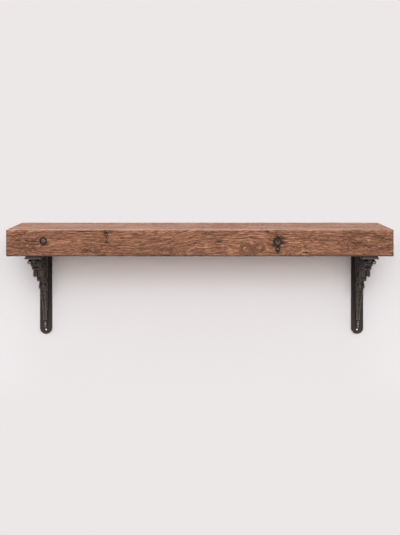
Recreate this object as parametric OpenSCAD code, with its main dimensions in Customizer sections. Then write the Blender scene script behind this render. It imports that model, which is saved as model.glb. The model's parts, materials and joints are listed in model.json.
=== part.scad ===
// Thick reclaimed-look board on two cast-iron scroll brackets, fixed to a wall.
// The wall is the plane y = 0 and the board's front faces -y.
// The origin is the centre of the board's back face.

/* [Board] */
// Length of the board along the wall
board_l = 1000; // [700:5:1400]
// Depth of the board from the wall to its front face
board_d = 220; // [200:1:260]
// Thickness of the board
board_t = 70; // [50:1:90]
// Radius worn onto the board's edges and corners
board_edge_r = 4; // [1:0.5:8]

/* [Bracket places] */
// From the board's left end to the centre line of the left bracket
left_inset = 69; // [40:1:200]
// From the board's right end to the centre line of the right bracket
right_inset = 59; // [40:1:200]
// How far the arm stops behind the board's front face
arm_setback = 6; // [2:1:20]

/* [Wall plate and arm] */
// Width of the wall plate, and of the arm where it meets the wall
plate_w = 34; // [32:0.5:45]
// Thickness of the wall plate
plate_t = 7; // [5:0.5:10]
// Height of the wall plate, from the board's underside to its round foot
plate_h = 242; // [225:1:300]
// Thickness of the arm
arm_t = 8; // [6:0.5:12]
// Width of the arm at its front end
arm_end_w = 41; // [34:0.5:46]
// Radius of the arm's front corners
arm_corner_r = 3.5; // [1:0.5:6]

/* [Scroll web] */
// Radius of the concave rib that runs from the arm's tip down to the plate
rib_r = 253; // [240:1:300]
// Width of that rib across its curve
rib_w = 10; // [7:0.5:14]
// Thickness of the rib's plain stem under the husk
stem_t = 12.5; // [10:0.5:14]
// Thickness of the stem at its foot on the plate
foot_t = 9; // [7:0.5:12]
// Thickness of the scrolls inside the rib
scroll_t = 12; // [8:0.5:13]
// Width of the scroll band where a scroll starts
scroll_w = 6.5; // [5:0.5:8]
// Number of scrolls along the arm, after the one in the corner
arm_scrolls = 3; // [1:1:3]
// Number of scrolls down the plate, after the one in the corner
plate_scrolls = 3; // [1:1:3]

/* [Leaf] */
// Thickness of the leaf's broad upper lobes under the arm
leaf_t = 21; // [18:0.5:26]
// Thickness of the leaf's narrow lowest lobe
leaf_tip_t = 15; // [13:0.5:18]
// From the board's underside down to the foot of the broad lobes
broad_drop = 64; // [56:1:70]
// How far the lowest broad lobes hang in front of the rib
lobe_proud = 15; // [8:0.5:18]
// From the board's underside down to the leaf's tip
leaf_drop = 82; // [78:1:92]
// Thickness of the stem's neck under the leaf's tip
neck_t = 10.5; // [9:0.5:13]
// Thickness of the husk on the stem at its lower end
husk_t = 15; // [13:0.5:17]
// From the board's underside down to the husk's end
husk_drop = 110; // [100:1:125]
// Width of the groove down the middle of the broad lobes
groove_w = 3; // [2:0.5:5]
// Depth of that groove
groove_deep = 6; // [3:0.5:8]

/* [Knob and beads] */
// Distance of the knob's centre behind the arm's front end
knob_setback = 13; // [9:1:20]
// Radius of each of the knob's two balls
knob_r = 6; // [5:0.25:7]
// Distance between the centres of the knob's two balls
knob_spread = 18.5; // [14:0.5:21]
// Radius of the middle bead at the rib's foot
bead_r = 4; // [3:0.25:5]
// Height of the solid web behind the rib's foot
foot_web_h = 18; // [8:1:24]

/* [Screws] */
// Diameter of every hole in the castings
hole_d = 5.2; // [4.8:0.1:6]
// Distance between the two upper wall holes, and of the arm holes across the web
hole_pair = 24; // [22:0.5:25]
// From the board's underside down to the two upper wall holes
upper_hole_drop = 50; // [40:1:70]
// From the plate's foot up to the lower wall hole
lower_hole_up = 12; // [10:1:16]
// From the wall to the rear screw
rear_screw_out = 62; // [50:1:90]
// From the arm's front end back to the front screw
front_screw_back = 52; // [40:1:80]
// Diameter of a screw's shank
shank_d = 4.2; // [3.5:0.1:4.6]
// Diameter of a screw's round head
head_d = 8.2; // [7:0.1:8.8]
// Height of a screw's round head
head_h = 3; // [2:0.1:4]
// Length of a screw under its head
screw_l = 38; // [25:1:45]
// Play round a screw in its pilot hole
pilot_play = 0.1; // [0.05:0.05:0.3]

/* [Hidden] */

$fn = 96;
eps = 0.01;
iron = [0.21, 0.19, 0.18];
wood = [0.60, 0.42, 0.32];
dark_steel = [0.13, 0.12, 0.12];

underside = -board_t / 2;
left_x = -board_l / 2 + left_inset;
right_x = board_l / 2 - right_inset;
arm_l = board_d - arm_setback;
// Both brackets are one casting, with a screw on each side of its web.
front_screw_at = [-hole_pair / 2, -arm_l + front_screw_back];
rear_screw_at = [hole_pair / 2, -rear_screw_out];

// The side of a bracket is drawn with u out from the wall and v up from the board's underside.
knob_u = arm_l - knob_setback;
knob_v = -arm_t - knob_r - 1;
lower_hole_v = -plate_h + lower_hole_up;
bead_gap = 1.6 * bead_r;
bead_v = lower_hole_v + hole_d / 2 + 4 + bead_gap + bead_r;
rib_foot = [plate_t + rib_w / 2 + 5, bead_v + 2 * bead_gap];
rib_tip = [knob_u - 2, knob_v - 2];

// Centre of the rib's circle, on the open side of the line from foot to tip.
rib_chord = rib_tip - rib_foot;
rib_rise = sqrt(pow(rib_r, 2) - pow(norm(rib_chord) / 2, 2));
rib_c = (rib_tip + rib_foot) / 2 + rib_rise * [rib_chord[1], -rib_chord[0]] / norm(rib_chord);
tip_angle = atan2(rib_tip[1] - rib_c[1], rib_tip[0] - rib_c[0]);
foot_angle = atan2(rib_foot[1] - rib_c[1], rib_foot[0] - rib_c[0]);

// Each scroll is a circle that touches the rib's inner side and the arm, the plate or both.
rib_in = rib_r + rib_w / 2;
to_arm = -arm_t - rib_c[1];
to_plate = rib_c[0] - plate_t;
scroll_lap = 0.8;
corner_sum = to_arm + to_plate + rib_in;
corner_r = corner_sum - sqrt(pow(corner_sum, 2) - pow(to_arm, 2) - pow(to_plate, 2) + pow(rib_in, 2));
corner_c = [plate_t + corner_r, -arm_t - corner_r];

// Radius of the circle that touches a straight side and the rib, at a distance from the rib's centre.
function side_r(along, side) = (pow(along, 2) + pow(side, 2) - pow(rib_in, 2)) / 2 / (side + rib_in);
// Distance from the rib's centre of the next such circle, which starts at a given distance.
function next_along(start, side) =
    let (reach = side + rib_in, rest = pow(side, 2) - pow(rib_in, 2))
    -reach + sqrt(pow(reach, 2) - rest + 2 * reach * start);
function side_chain(start, side, count) = count == 0 ? [] :
    let (along = next_along(start, side), r = side_r(along, side))
    concat([[along, r]], side_chain(along - r, side, count - 1));
arm_chain = side_chain(rib_c[0] - corner_c[0] - corner_r, to_arm, arm_scrolls);
plate_chain = side_chain(corner_c[1] - corner_r - rib_c[1], to_plate, plate_scrolls);

// A leaf lobe has its share of the way from tip to foot, its radius and how far it stands proud.
lobes = [[0.07, 8, 3], [0.148, 7, 5], [0.265, 10, lobe_proud], [0.42, 9, 5]];
broad_lobe = lobes[2];

// Lays a side drawing upright, centred on the bracket's middle plane.
module side(thickness) {
    rotate([90, 0, -90]) linear_extrude(thickness, center = true) children();
}

// How a volute curls: steps along the curl, full turns, and its eye's share of the radius.
curl_steps = 26;
large_turns = 1.3;
small_turns = 0.9;
eye_share = 0.16;
// Radii at which a volute counts as large, and below which it is cast as a plain ring.
large_volute_r = 30;
ring_max_r = 15;
ring_hole_share = 0.5;

// One edge of a scroll's curl, which leaves the ring and winds in to the eye.
function curl_edge(r, w, eye, turns, inner) =
    [for (i = [0:curl_steps])
        let (t = i / curl_steps, reach = r - w / 2 + (1.15 * eye - r + w / 2) * pow(t, 0.8),
             band = w * 0.9 + (0.8 * eye - w * 0.9) * t)
        (reach - (inner ? band : 0)) * [cos(360 * turns * t), sin(360 * turns * t)]];
function reversed(list) = [for (i = [len(list) - 1:-1:0]) list[i]];

// A volute of outer radius r that leaves its ring at an angle and turns one way (1) or the other (-1).
module volute(r, start, way) {
    w = min(scroll_w, r * 0.3);
    eye = r * eye_share;
    turns = r > large_volute_r ? large_turns : small_turns;
    rotate(start) mirror([0, way > 0 ? 0 : 1]) {
        difference() {
            circle(r);
            circle(r - w);
        }
        polygon(concat(curl_edge(r, w, eye, turns, false), reversed(curl_edge(r, w, eye, turns, true))));
        circle(eye * 1.25);
    }
}

// The small scrolls are too tight to curl and are cast as rings.
module scroll_ring(r) {
    difference() {
        circle(r);
        circle(r * ring_hole_share);
    }
}

module scroll(r, start, way) {
    if (r > ring_max_r) volute(r, start, way);
    else scroll_ring(r);
}

module scrolls() {
    translate(corner_c) scroll(corner_r + scroll_lap, 225, 1);
    for (i = [0:arm_scrolls - 1])
        translate([rib_c[0] - arm_chain[i][0], -arm_t - arm_chain[i][1]])
            scroll(arm_chain[i][1] + scroll_lap, 60, -1);
    for (i = [0:plate_scrolls - 1])
        translate([plate_t + plate_chain[i][1], rib_c[1] + plate_chain[i][0]])
            scroll(plate_chain[i][1] + scroll_lap, 30, 1);
}

module rib_side() {
    intersection() {
        translate(rib_c) difference() {
            circle(rib_in, $fn = 240);
            circle(rib_r - rib_w / 2, $fn = 240);
        }
        polygon([rib_c,
                 rib_c + 2 * rib_r * [cos(tip_angle), sin(tip_angle)],
                 rib_c + 2 * rib_r * [cos(foot_angle), sin(foot_angle)]]);
    }
}

function lobe_centre(lobe) =
    let (angle = tip_angle + (foot_angle - tip_angle) * lobe[0])
    rib_c + (rib_r - rib_w / 2 - lobe[2] + lobe[1]) * [cos(angle), sin(angle)];

// Half of the rib's outline from the front: broad leaf, round leaf tip, neck, husk, then the plain stem.
tip_end_r = leaf_tip_t / 2;
husk_end = 5;
half_front = [[leaf_t / 2, -arm_t + 1], [leaf_t / 2 - 0.5, -broad_drop],
              [tip_end_r, -broad_drop], [tip_end_r, -leaf_drop + tip_end_r],
              [neck_t / 2, -leaf_drop + tip_end_r], [neck_t / 2, -leaf_drop - 2],
              [husk_t / 2, -husk_drop], [stem_t / 2, -husk_drop - husk_end],
              [foot_t / 2, rib_foot[1] - rib_w]];

// The rib and its lobes, broad under the board and slender towards the foot.
module leafed_rib() {
    difference() {
        intersection() {
            side(leaf_t + 1) {
                rib_side();
                for (lobe = lobes) translate(lobe_centre(lobe)) circle(lobe[1]);
            }
            rotate([90, 0, 0]) linear_extrude(board_d) {
                polygon(concat(half_front, [for (p = reversed(half_front)) [-p[0], p[1]]]));
                translate([0, -leaf_drop + tip_end_r]) circle(tip_end_r);
            }
        }
        leaf_groove();
    }
}

// The groove parts the broad lobe into a pair.
module leaf_groove() {
    side(groove_w) translate(lobe_centre(broad_lobe)) difference() {
        circle(broad_lobe[1] + 1);
        circle(broad_lobe[1] - groove_deep);
        translate([-2 * broad_lobe[1], 0]) square(4 * broad_lobe[1]);
    }
}

// Two balls on a short bar, hung from the arm by a neck.
module knob() {
    translate([0, -knob_u, knob_v]) {
        rotate([0, 90, 0]) cylinder(r = knob_r * 0.75, h = knob_spread, center = true);
        for (x = [-1, 1]) translate([x * knob_spread / 2, 0, 0]) sphere(knob_r);
        translate([-knob_r * 0.8, -knob_r * 0.7, 0]) cube([knob_r * 1.6, knob_r * 1.4, knob_r + 1.5]);
    }
}

// The narrow gap behind the rib's foot is cast solid.
module foot_web() {
    side(foot_t * 0.6) translate([plate_t - 1, rib_foot[1]])
        square([rib_foot[0] - plate_t + 1, foot_web_h]);
}

// Three beads in a row below the rib's foot, each on its own short pin.
module beads() {
    for (i = [-1:1]) {
        r = i == 0 ? bead_r : bead_r * 0.75;
        translate([0, -rib_foot[0], bead_v + i * bead_gap]) sphere(r);
        translate([0, -plate_t + 1, bead_v + i * bead_gap]) rotate([90, 0, 0])
            cylinder(r = r * 0.8, h = rib_foot[0] - plate_t);
    }
}

module plate() {
    rotate([90, 0, 0]) linear_extrude(plate_t) difference() {
        union() {
            translate([-plate_w / 2, -plate_h + plate_w / 2]) square([plate_w, plate_h - plate_w / 2]);
            translate([0, -plate_h + plate_w / 2]) circle(d = plate_w);
        }
        translate([0, lower_hole_v]) circle(d = hole_d);
        for (x = [-1, 1]) translate([x * hole_pair / 2, -upper_hole_drop]) circle(d = hole_d);
    }
}

module arm() {
    translate([0, 0, -arm_t]) linear_extrude(arm_t) difference() {
        union() {
            polygon([[-plate_w / 2, 0], [plate_w / 2, 0],
                     [arm_end_w / 2, -arm_l + arm_corner_r], [-arm_end_w / 2, -arm_l + arm_corner_r]]);
            translate([-arm_end_w / 2 + arm_corner_r, -arm_l])
                square([arm_end_w - 2 * arm_corner_r, 2 * arm_corner_r]);
            for (x = [-1, 1])
                translate([x * (arm_end_w / 2 - arm_corner_r), -arm_l + arm_corner_r]) circle(arm_corner_r);
        }
        translate(front_screw_at) circle(d = hole_d);
        translate(rear_screw_at) circle(d = hole_d);
    }
}

// One casting in its own frame, with the arm's top at z = 0 and the wall at y = 0.
module bracket() {
    plate();
    arm();
    leafed_rib();
    side(scroll_t) scrolls();
    knob();
    foot_web();
    beads();
}

// A round-head wood screw, head down, with its head's flat seat at z = 0.
module wood_screw() {
    point_l = 2 * shank_d;
    slot_w = 1;
    head_ball = (pow(head_d / 2, 2) + pow(head_h, 2)) / 2 / head_h;
    difference() {
        intersection() {
            translate([0, 0, head_ball - head_h]) sphere(head_ball);
            translate([0, 0, -head_h]) cylinder(d = head_d + 1, h = head_h);
        }
        translate([-head_d, -slot_w / 2, -head_h - 1]) cube([2 * head_d, slot_w, head_h * 0.4 + 1]);
    }
    translate([0, 0, -eps]) cylinder(d = shank_d, h = screw_l - point_l + eps);
    translate([0, 0, screw_l - point_l]) cylinder(d1 = shank_d, d2 = 0.6, h = point_l);
}

module placed_screw(bracket_x, at) {
    color(dark_steel) translate([bracket_x + at[0], at[1], underside - arm_t]) wood_screw();
}

module pilot_hole(bracket_x, at) {
    translate([bracket_x + at[0], at[1], underside - 1])
        cylinder(d = shank_d + 2 * pilot_play, h = screw_l - arm_t + 2);
}

// A rectangle with round corners, centred.
module worn_rectangle(size, r) {
    square([size[0] - 2 * r, size[1]], center = true);
    square([size[0], size[1] - 2 * r], center = true);
    for (x = [-1, 1], y = [-1, 1])
        translate([x * (size[0] / 2 - r), y * (size[1] / 2 - r)]) circle(r);
}

module shelf_board() {
    color(wood) translate([0, -board_d / 2, 0]) difference() {
        intersection() {
            rotate([90, 0, 0]) linear_extrude(board_d, center = true)
                worn_rectangle([board_l, board_t], board_edge_r);
            rotate([90, 0, 90]) linear_extrude(board_l, center = true)
                worn_rectangle([board_d, board_t], board_edge_r);
        }
        translate([0, board_d / 2, 0]) {
            for (bracket_x = [left_x, right_x], at = [front_screw_at, rear_screw_at])
                pilot_hole(bracket_x, at);
        }
    }
}

module left_bracket() {
    color(iron) translate([left_x, 0, underside]) bracket();
}

module right_bracket() {
    color(iron) translate([right_x, 0, underside]) bracket();
}

module left_front_screw() { placed_screw(left_x, front_screw_at); }

module left_rear_screw() { placed_screw(left_x, rear_screw_at); }

module right_front_screw() { placed_screw(right_x, front_screw_at); }

module right_rear_screw() { placed_screw(right_x, rear_screw_at); }

shelf_board();
left_bracket();
right_bracket();
left_front_screw();
left_rear_screw();
right_front_screw();
right_rear_screw();
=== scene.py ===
import json
import math
from functools import partial

import bmesh
import bpy
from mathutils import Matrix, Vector

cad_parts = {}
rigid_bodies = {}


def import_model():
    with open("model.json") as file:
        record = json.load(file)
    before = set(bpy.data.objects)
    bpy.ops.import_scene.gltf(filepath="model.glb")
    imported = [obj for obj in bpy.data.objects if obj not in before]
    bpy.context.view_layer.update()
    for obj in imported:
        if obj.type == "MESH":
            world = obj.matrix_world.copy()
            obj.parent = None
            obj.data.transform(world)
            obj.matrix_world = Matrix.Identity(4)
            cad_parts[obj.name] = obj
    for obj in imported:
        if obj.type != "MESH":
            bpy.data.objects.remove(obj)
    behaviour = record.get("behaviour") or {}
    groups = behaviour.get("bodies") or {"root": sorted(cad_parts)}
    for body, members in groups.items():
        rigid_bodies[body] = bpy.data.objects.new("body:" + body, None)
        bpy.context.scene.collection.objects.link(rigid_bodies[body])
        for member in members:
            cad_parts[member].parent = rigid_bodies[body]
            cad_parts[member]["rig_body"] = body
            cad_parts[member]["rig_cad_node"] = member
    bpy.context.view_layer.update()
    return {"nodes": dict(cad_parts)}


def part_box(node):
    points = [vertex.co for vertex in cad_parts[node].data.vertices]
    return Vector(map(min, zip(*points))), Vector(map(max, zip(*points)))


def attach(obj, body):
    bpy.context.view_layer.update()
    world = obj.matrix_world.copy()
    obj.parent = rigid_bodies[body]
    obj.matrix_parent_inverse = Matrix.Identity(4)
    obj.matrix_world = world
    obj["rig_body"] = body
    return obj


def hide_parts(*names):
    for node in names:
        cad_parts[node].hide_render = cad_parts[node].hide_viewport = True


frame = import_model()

print("frame loaded:", ", ".join(sorted(frame["nodes"])))


# Helpers for materials and meshes

def fromHex(code):
    # sRGB hex to the linear colour that sockets take
    parts = [int(code[i:i + 2], 16) / 255 for i in (1, 3, 5)]
    return [c / 12.92 if c <= 0.04045 else ((c + 0.055) / 1.055) ** 2.4 for c in parts] + [1.0]


def addNode(tree, kind, *sources, **settings):
    # Sources fill the sockets in order: a node or an output is linked, a value is set, None is left.
    # Settings are the node's own properties, or sockets by name with _ for a space.
    node = tree.nodes.new(kind if "Node" in kind else "ShaderNode" + kind)
    for key in [k for k in settings if k in node.bl_rna.properties]:
        setattr(node, key, settings.pop(key))
    sockets = [s for s in node.inputs if s.enabled]
    named = {s.name: s for s in reversed(sockets)}
    wanted = [*zip(sockets, sources), *((named[k.replace("_", " ")], v) for k, v in settings.items())]
    for socket, source in wanted:
        if isinstance(source, bpy.types.Node):
            source = next(s for s in source.outputs if s.enabled)
        if isinstance(source, bpy.types.NodeSocket):
            tree.links.new(source, socket)
        elif source is not None:
            socket.default_value = source
    return node


def newMaterial(name):
    # An empty material, and addNode for its tree
    material = bpy.data.materials.new(name)
    material.use_nodes = True
    material.node_tree.nodes.clear()
    return material, partial(addNode, material.node_tree)


# Settings that many nodes share
soft = {"interpolation_type": "SMOOTHSTEP"}
times, minus, most = [{"operation": word} for word in ("MULTIPLY", "SUBTRACT", "MAXIMUM")]


def overlay(add, colour, layers, colours):
    # Lays named colours over a colour, each by the product of its shares
    for name, share, *others in layers:
        for other in others:
            share = add("Math", share, other, **times)
        colour = add("Mix", share, colour, fromHex(colours[name]), data_type="RGBA").outputs[2]
    return colour


def workOn(piece):
    bpy.ops.object.select_all(action="DESELECT")
    piece.select_set(True)
    bpy.context.view_layer.objects.active = piece


def added(name):
    # The primitive just added, named, with its place moved into its mesh
    piece = bpy.context.active_object
    piece.name = piece.data.name = name
    workOn(piece)
    bpy.ops.object.transform_apply(location=True, rotation=True, scale=True)
    return piece


def onWhole(step, **settings):
    # Does one step of mesh editing on all of the active piece
    bpy.ops.object.mode_set(mode="EDIT")
    bpy.ops.mesh.select_all(action="SELECT")
    step(**settings)
    bpy.ops.object.mode_set(mode="OBJECT")


def pick(piece, what, test):
    # In edit mode, selects only the edges or faces that pass the test
    bpy.ops.mesh.select_mode(type=what)
    bpy.ops.mesh.select_all(action="DESELECT")
    mesh = bmesh.from_edit_mesh(piece.data)
    for item in {"EDGE": mesh.edges, "FACE": mesh.faces}[what]:
        if test(item):
            item.select_set(True)
    mesh.select_flush_mode()
    bmesh.update_edit_mesh(piece.data)


# Camera: level, a little above the board, looking straight at the wall

cameraPlace = {
    "out": 2.6644,  # from the wall
    "up": 0.2566,  # above the board's middle
    "aside": -0.0006,
    "focalPixels": 948.57,
    "framePixels": (400, 535),
    "axisPixels": (199.6, 143.5),  # where the level line of sight meets the frame
    "sensor": 36.0,  # millimetres along the frame's long side
}


def placeCamera(place):
    wide, tall = place["framePixels"]
    bpy.ops.object.camera_add(location=(place["aside"], -place["out"], place["up"]),
                              rotation=(math.pi / 2, 0, 0))
    camera = bpy.context.active_object
    camera.name = "viewCamera"
    camera.data.sensor_width = place["sensor"]
    camera.data.lens = place["sensor"] * place["focalPixels"] / tall
    camera.data.shift_x = (wide / 2 - place["axisPixels"][0]) / tall
    camera.data.shift_y = (place["axisPixels"][1] - tall / 2) / tall
    bpy.context.scene.camera = camera
    print("camera placed, lens", round(camera.data.lens, 2))


# Studio: a painted wall that carries the shelf, and a pale floor far below it

studio = {
    "wallHex": "#EDE8E8",  # as the picture shows it away from the shadows
    "paintHex": "#ECE9EA",
    "warmHex": "#ECE3DF",  # painted bounce light: the wall is drawn warmer under the board, where the wood would throw warm light on it
    "bounceReach": (-0.15, -0.065),  # heights between which that fades in
    "warmEnds": (0.52, 0.42),  # and distances from the middle
    "holeHex": "#2E2A28",
    "floorHex": "#8C8886",
    "floorLiftHex": "#B4B0AF",  # added where the floor is seen, so that it reads as pale
    "matt": {"Roughness": 0.9, "Specular_IOR_Level": 0.1},
    "wallSize": 12.0,
    "wallGap": 0.0004,  # behind the board's back face
    "floorDrop": 1.6,  # below the board's middle, which hangs at the height of the eyes
    "shadowField": (0.0, -0.38),  # heights between which the wall takes shadows
    "fieldFade": 0.10,
    "worldLevel": 0.22,
    "backReach": 0.002,  # how long a ray may be that passes through the wall to the shelf's back
    "holeShadeDiscs": (24.0, -85.0, 4.0),  # apart, height and radius of painted shade: dark discs on the wall behind the plates' upper holes, where holes drilled in the wall would be
    "holeGlowSpot": (-265.0, 4.0),  # height and radius of painted light: a disc of unshadowed, glowing wall seen through each plate's lower hole
    "discEdge": 0.8,  # share of the radius at which these discs start to fade
}

# Soft suns: strength, degrees above the horizon, degrees across, and degrees round from the front
lamps = [
    ("frontLamp", 2.08, 15.0, 41.0, 0.0),
    ("overheadLamp", 1.6, 88.0, 36.0, 0.0),
    ("backLamp", 1.6, 25.0, 60.0, 180.0),
    ("leftLamp", 0.38, 24.0, 36.0, -55.0),
    ("rightLamp", 0.38, 24.0, 36.0, 55.0),
]


def seenRays(add):
    # 1 for what the camera sees directly, in a gloss or through glass, 0 for light on other surfaces
    rays = add("LightPath")
    seen = add("Math", rays.outputs["Is Camera Ray"], rays.outputs["Is Glossy Ray"], **most)
    return add("Math", seen, rays.outputs["Is Transmission Ray"], **most)


def paintWall(values):
    # Matt emulsion: a flat pale field with no gloss, which is plain backdrop away from the shadows
    material, add = newMaterial("mattEmulsion")
    place = add("TexCoord").outputs["Object"]
    aside, _, level = add("SeparateXYZ", place).outputs
    top, foot = values["shadowField"]
    fade = values["fieldFade"]
    plain = add("Math", add("MapRange", level, top - fade / 2, top + fade / 2, **soft),
                add("MapRange", level, foot, foot - fade, **soft), **most)
    # Painted bounce light: the wall is drawn warmer under the board's middle
    warm = add("Math", add("MapRange", level, *values["bounceReach"]),
               add("MapRange", add("Math", aside, operation="ABSOLUTE"), *values["warmEnds"]), **times)
    wallTone = overlay(add, fromHex(values["paintHex"]), [("warmHex", warm)], values)
    apart, *hole = values["holeShadeDiscs"]
    for name in ("left_bracket", "right_bracket"):
        low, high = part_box(name)
        for side, (height, radius) in ((-1, hole), (1, hole), (0, values["holeGlowSpot"])):
            spot = ((low.x + high.x) / 2 + side * apart / 2000, values["wallGap"], height / 1000)
            reach = add("VectorMath", place, spot, operation="DISTANCE")
            disc = add("MapRange", reach, radius / 1000, radius / 1000 * values["discEdge"])
            if side:
                # Painted shade: a dark disc behind each of the plate's upper holes
                wallTone = overlay(add, wallTone, [("holeHex", disc)], values)
            else:
                # Painted light: the wall glows unshadowed behind each plate's lower hole
                plain = add("Math", plain, disc, **most)
    shader = add("BsdfPrincipled", wallTone, **values["matt"])
    share = add("Math", plain, seenRays(add), **times)
    lit = add("MixShader", share, shader, add("Emission", fromHex(values["wallHex"])))

    # From behind the wall is out of sight, and light passes through it to the shelf's back, a hair in front
    near = add("Math", add("LightPath").outputs["Ray Length"], values["backReach"], operation="LESS_THAN")
    through = add("Math", add("NewGeometry").outputs["Backfacing"], near, **most)
    add("OutputMaterial", add("MixShader", through, lit, add("BsdfTransparent")))
    return material


def paintFloor(values):
    # Pale screed, lifted towards white where the camera sees it
    material, add = newMaterial("paleScreed")
    shader = add("BsdfPrincipled", fromHex(values["floorHex"]), **values["matt"],
                 Emission_Color=fromHex(values["floorLiftHex"]), Emission_Strength=seenRays(add))
    add("OutputMaterial", shader)
    return material


def addLamp(name, level, rise, spread, turn):
    bpy.ops.object.light_add(type="SUN", rotation=(math.radians(90 - rise), 0, math.radians(turn)))
    lamp = bpy.context.active_object
    lamp.name = name
    lamp.data.energy = level
    lamp.data.angle = math.radians(spread)


def buildStudio(values):
    size = values["wallSize"]
    bpy.ops.mesh.primitive_plane_add(size=size, location=(0, values["wallGap"], 0),
                                     rotation=(math.pi / 2, 0, 0))
    wall = added("studioWall")
    wall.data.materials.append(paintWall(values))
    bpy.ops.mesh.primitive_plane_add(size=size, location=(0, 0, -values["floorDrop"]))
    floor = added("studioFloor")
    floor.data.materials.append(paintFloor(values))

    world = bpy.data.worlds.new("studioAir")
    world.use_nodes = True
    bpy.context.scene.world = world
    world.node_tree.nodes.clear()
    add = partial(addNode, world.node_tree)
    level = add("MapRange", seenRays(add), To_Min=values["worldLevel"], To_Max=1.0)
    add("OutputWorld", add("Background", fromHex(values["wallHex"]), level))
    for lamp in lamps:
        addLamp(*lamp)
    bpy.context.scene.view_settings.view_transform = "Standard"
    print("studio lit")


bpy.ops.object.select_all(action="DESELECT")
placeCamera(cameraPlace)
buildStudio(studio)


# The board: sawn softwood, wire-brushed so that the hard grain stands proud, edges worn round

board = {
    "edgeRound": 0.0032,
    "roundSteps": 3,
    "longEdge": 0.8,  # share of the board past which an edge runs along it
    "cells": {0: (5, 50), 1: (10, 11), 2: (40,)},  # cuts along x, y and z, one pass takes at most 100
    "reliefDepth": 0.0010,  # from the proudest grain down to the brushed-out softwood
    "edgeDepth": 0.0006,  # chips along the edges
    "edgeReach": 6.0,  # how far in from an edge its wear goes, millimetres
    "endRelief": 0.25,  # share of the relief on the sawn ends
    "topRelief": 0.8,  # and on the top, which use has worn smoother
    "ringWidth": 7.5,  # millimetres between growth rings
    "pith": (-96.0, -150.0),  # y and z of the tree's middle, millimetres
    "lineHalf": 0.028,  # half the width of the thin dark lines, as a step of their noise
    "lineDepth": 0.42,  # and how deep they are cut, as a share of the relief
    "swayReach": 9.0,  # how far the grain wanders, millimetres
    "curlReach": 13.0,  # and in its curls
    "fleckShare": 0.09,  # how many more dark flecks the weathered places hold
    "haloReach": (3.0, 2.2),  # how far a knot's dark stain goes, in knots
    "climb": (-185.0, 15.0, 34.0),  # x between which the front's grain rises, and how far, millimetres
    "frontBand": (-190.0, -206.0),  # y between which marks on the front fade in
    "topBand": (31.5, 33.6),  # z between which the top's finish fades in
    "endBand": (494.0, 498.5),  # distance from the middle at which end grain starts
    "browDepth": (-186.0, -214.0),  # y between which the top's pale front edge fades in, worn and partly a painted highlight
    "browHeight": (32.8, 34.5),  # and z on the front
    "browEnds": (60.0, 420.0, 0.5), # x between which it grows faint, and what is left of it
    "darkEdgeHeight": (-26.0, -20.0),  # z under which edges are drawn darker and over which they are rubbed
    "darkEdgeEnds": (495.0, 498.5, 1.0, 0.1),  # distance from the middle at which they are drawn darker at any height
    # Grain and marks: a fade runs between two distances from a mark's middle, in sizes of the mark
    "ragged": 0.55,  # how far the marks' outlines wander
    "curlFade": (1.0, 0.4),
    "weatherFade": (1.0, 0.5),
    "eyeFade": (1.15, 0.30),
    "pullReach": (2.2, 1.7),  # how far round a knot the grain is pushed aside, along and across
    "pullFall": 0.4,  # what is left of the push at that distance
    "pullShare": 0.6,
    "rimIn": (0.62, 0.84),
    "rimOut": (1.30, 1.08),
    "heartFade": (1.0, 0.7),
    "haloFade": (1.1, 0.3),
    "crackSway": 4.0,  # how far a crack wanders, millimetres
    "crackEnds": 0.6,  # share of its length at which it starts to close
    "crackLips": 0.3,  # share of its width that is at full depth
    "ringDarkens": (0.2, 0.8),  # shares of a growth ring
    "ringClears": (1.0, 0.88),
    "ringShare": 0.10,  # what the rings add to the grain on the faces
    "endRing": (0.75, 0.12),  # what they make on the ends, and the least height there
    "shares": {"streak": 0.54, "hair": 0.38, "burl": 0.08},  # of the grain's height
    "contrast": (0.34, 0.66),  # the part of their sum that is spread from 0 to 1
    "chips": (0.42, 0.68),  # the part of the chip noise that wears the edges
    # The paint
    "pores": (0.58, 0.67),  # the part of the pore noise that is dark
    "poreDepth": 0.6,  # of a pore, as a share of the grain's height
    "edgeRub": 0.35,  # how pale the other edges are rubbed
    "darkEdgeShare": 0.9,
    "endShare": 0.5,  # how dark the sawn ends are
    "topPolish": 0.14,  # how much less rough the top is
    "bumpDepth": 0.0020,
    "sheen": 0.4,
}

# Noises in the wood: sizes along x, y and z in millimetres, and their settings
woodNoises = {
    "bend": ((170, 60, 60), {"Detail": 1.0, "Roughness": 0.4}),
    "wobble": ((6, 6, 6), {"Detail": 2.0}),
    "slow": ((210, 26, 46), {"Detail": 2.0, "Roughness": 0.5}),
    "patch": ((60, 24, 14), {"Detail": 3.0, "Roughness": 0.55}),
    "bleach": ((110, 45, 45), {"Detail": 3.0, "Roughness": 0.6}),
    "chip": ((24, 9, 9), {"Detail": 3.0, "Roughness": 0.6}),
    "burl": ((19, 11, 11), {"Detail": 1.0, "Roughness": 0.5}),
}

# Noises that follow the grain round its bends and knots
grainNoises = {
    "streak": ((32, 1.5, 1.5), {"Detail": 2.0, "Roughness": 0.62, "Distortion": 0.2}),
    "hair": ((14, 1.2, 1.2), {"Detail": 2.0, "Roughness": 0.6}),
    "pore": ((12, 1.6, 1.6), {"Detail": 1.0}),
    "line": ((100, 5.5, 5.5), {"Detail": 2.0, "Roughness": 0.45}),
}

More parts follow.
